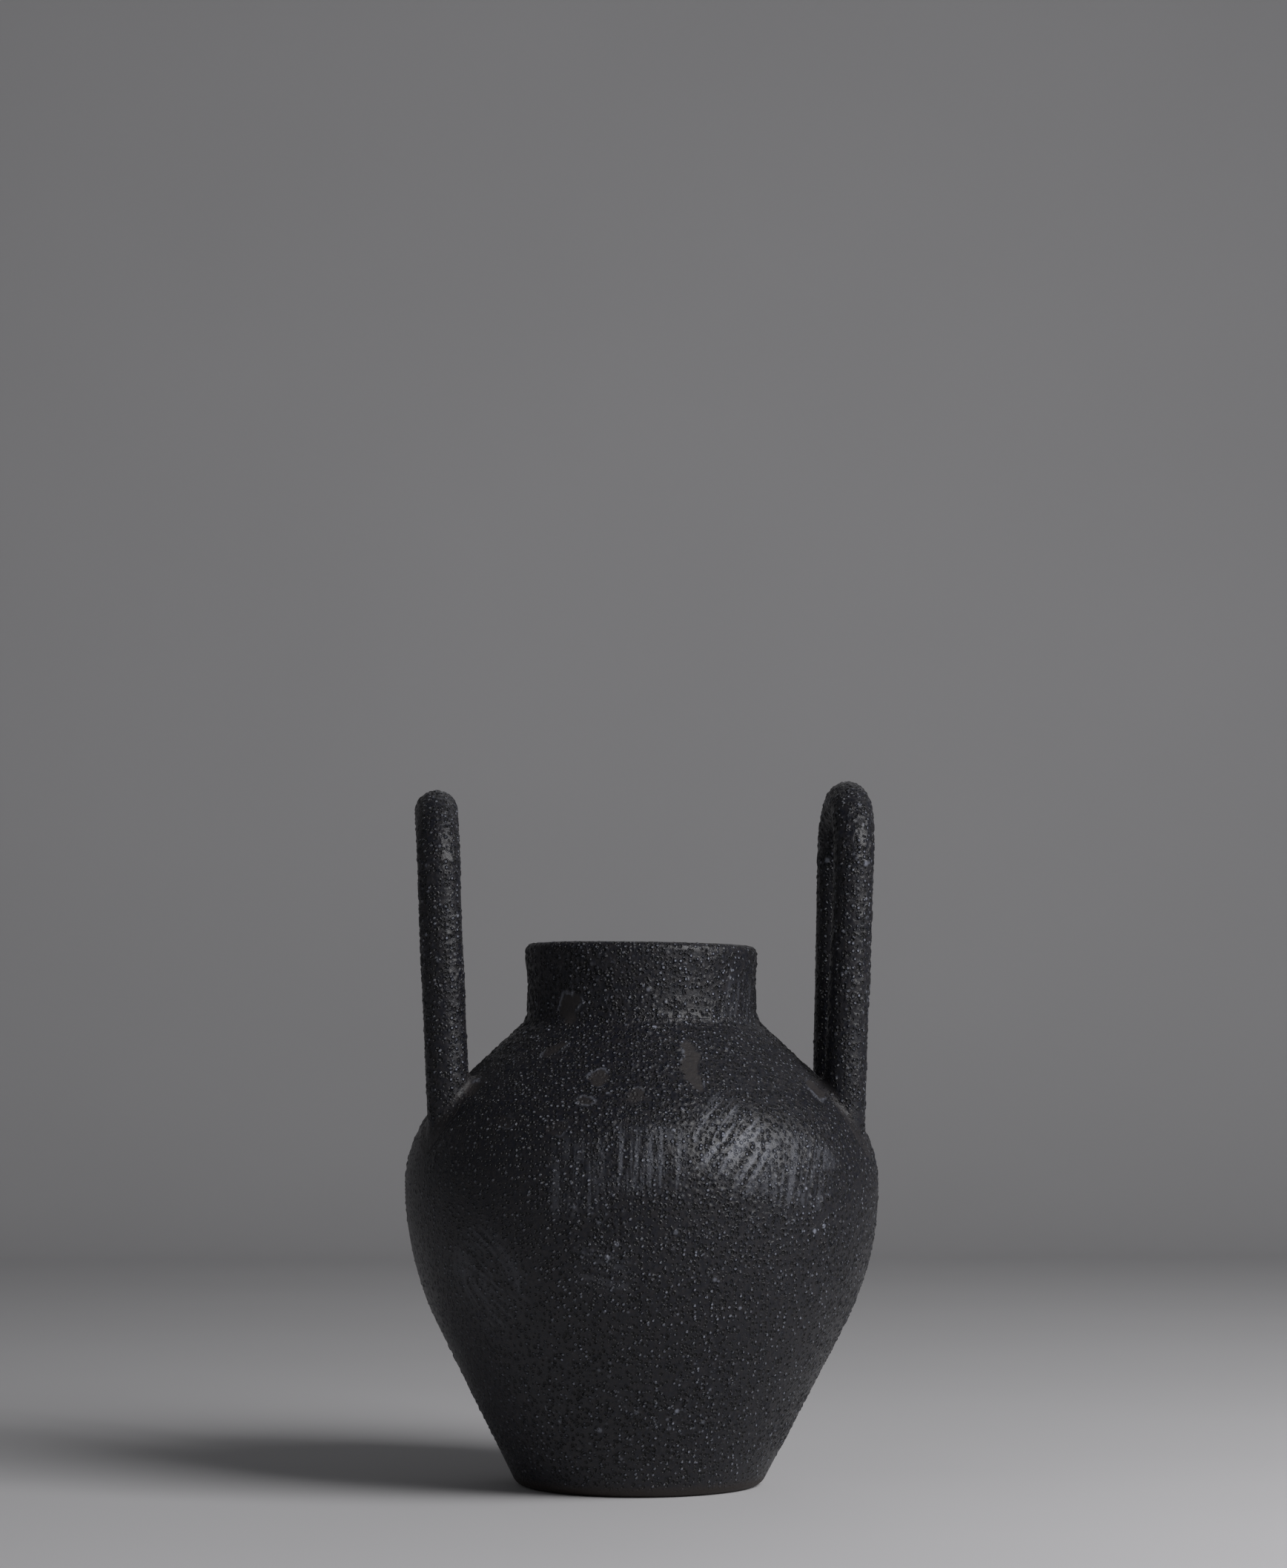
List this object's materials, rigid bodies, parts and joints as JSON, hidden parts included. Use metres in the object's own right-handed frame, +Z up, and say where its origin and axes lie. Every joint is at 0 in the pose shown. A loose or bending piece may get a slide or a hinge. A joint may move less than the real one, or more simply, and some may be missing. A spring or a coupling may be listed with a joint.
{
  "type": "handled vase",
  "caption": "Tall coil-built stoneware vase: narrow foot, full belly, sloping shoulder, short neck and upright loop handles.",
  "frame": {"origin": "middle of the foot's flat underside", "axes": "+Z up along the vase's axis, +X towards the taller handle, -Y towards the viewer"},
  "size_m": [0.2286, 0.2286, 0.3383],
  "materials": {
    "crater_glaze": "matte black crater glaze",
    "foot_glaze": "smooth brown-black, glaze wiped thin"
  },
  "bodies": {
    "root": {"foot_slab": "foot_glaze", "lower_wall": "crater_glaze", "belly_wall": "crater_glaze", "upper_wall": "crater_glaze", "shoulder": "crater_glaze", "neck_collar": "crater_glaze", "rim_coil": "crater_glaze", "left_handle": "crater_glaze", "right_handle": "crater_glaze", "left_front_root": "crater_glaze", "left_rear_root": "crater_glaze", "right_front_root": "crater_glaze", "right_rear_root": "crater_glaze"}
  },
  "joints": []
}
